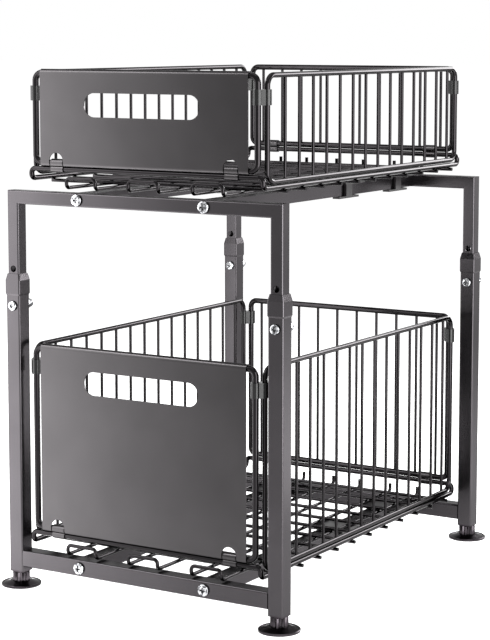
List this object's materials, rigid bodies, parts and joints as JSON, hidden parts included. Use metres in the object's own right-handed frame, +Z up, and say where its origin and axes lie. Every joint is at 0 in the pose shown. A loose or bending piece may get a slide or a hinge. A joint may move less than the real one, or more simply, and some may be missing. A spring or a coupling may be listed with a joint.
{
  "type": "under sink organizer",
  "caption": "Free-standing two-tier rack whose shallow upper basket and deep lower basket slide out to the front on rails.",
  "frame": {"origin": "on the floor, in the middle of the four feet", "axes": "+Z up, -Y towards the front that the baskets slide out of, +X to the right seen from the front"},
  "size_m": [0.333, 0.4345, 0.5034],
  "materials": {
    "frame_paint": "semi-gloss charcoal powder coat",
    "basket_wire": "gloss black coating",
    "basket_sheet": "satin charcoal powder coat",
    "clip_plastic": "black moulded clip",
    "glide_plastic": "black nylon",
    "foot_plastic": "black moulded plastic",
    "zinc": "bright zinc plate"
  },
  "bodies": {
    "frame": {"upper_front_beam": "frame_paint", "lower_front_beam": "frame_paint", "upper_rear_beam": "frame_paint", "lower_rear_beam": "frame_paint", "upper_front_left_post": "frame_paint", "upper_front_right_post": "frame_paint", "upper_rear_left_post": "frame_paint", "upper_rear_right_post": "frame_paint", "lower_front_left_post": "frame_paint", "lower_front_right_post": "frame_paint", "lower_rear_left_post": "frame_paint", "lower_rear_right_post": "frame_paint", "upper_left_rail": "frame_paint", "upper_right_rail": "frame_paint", "lower_left_rail": "frame_paint", "lower_right_rail": "frame_paint", "rail_screws": "zinc", "leg_bolts": "zinc", "leg_dome_nuts": "zinc", "foot_plugs": "foot_plastic"},
    "upper_basket": {"upper_base_ring": "basket_wire", "upper_base_cross_wires": "basket_wire", "upper_base_hairpins": "basket_wire", "upper_front_wire_frame": "basket_wire", "upper_front_sheet": "basket_sheet", "upper_back_panel": "basket_wire", "upper_left_panel": "basket_wire", "upper_right_panel": "basket_wire", "upper_corner_clips": "clip_plastic", "upper_strap_clips": "basket_wire", "upper_left_glides": "glide_plastic", "upper_right_glides": "glide_plastic"},
    "lower_basket": {"lower_base_ring": "basket_wire", "lower_base_cross_wires": "basket_wire", "lower_base_hairpins": "basket_wire", "lower_front_wire_frame": "basket_wire", "lower_front_sheet": "basket_sheet", "lower_back_panel": "basket_wire", "lower_left_panel": "basket_wire", "lower_right_panel": "basket_wire", "lower_corner_clips": "clip_plastic", "lower_strap_clips": "basket_wire", "lower_left_glides": "glide_plastic", "lower_right_glides": "glide_plastic"},
    "levelling_foot_front_left": {"levelling_foot_front_left": "foot_plastic"},
    "levelling_foot_front_right": {"levelling_foot_front_right": "foot_plastic"},
    "levelling_foot_rear_left": {"levelling_foot_rear_left": "foot_plastic"},
    "levelling_foot_rear_right": {"levelling_foot_rear_right": "foot_plastic"}
  },
  "joints": [
    {"name": "upper_basket_slide", "type": "slide", "parent": "frame", "child": "upper_basket", "axis": [0, -1, 0], "range_m": [0, 0.21]},
    {"name": "lower_basket_slide", "type": "slide", "parent": "frame", "child": "lower_basket", "axis": [0, -1, 0], "range_m": [0, 0.21]},
    {"name": "foot_front_left_travel", "type": "slide", "parent": "frame", "child": "levelling_foot_front_left", "axis": [0, 0, -1], "range_m": [0, 0.01]},
    {"name": "foot_front_right_travel", "type": "slide", "parent": "frame", "child": "levelling_foot_front_right", "axis": [0, 0, -1], "range_m": [0, 0.01]},
    {"name": "foot_rear_left_travel", "type": "slide", "parent": "frame", "child": "levelling_foot_rear_left", "axis": [0, 0, -1], "range_m": [0, 0.01]},
    {"name": "foot_rear_right_travel", "type": "slide", "parent": "frame", "child": "levelling_foot_rear_right", "axis": [0, 0, -1], "range_m": [0, 0.01]}
  ]
}
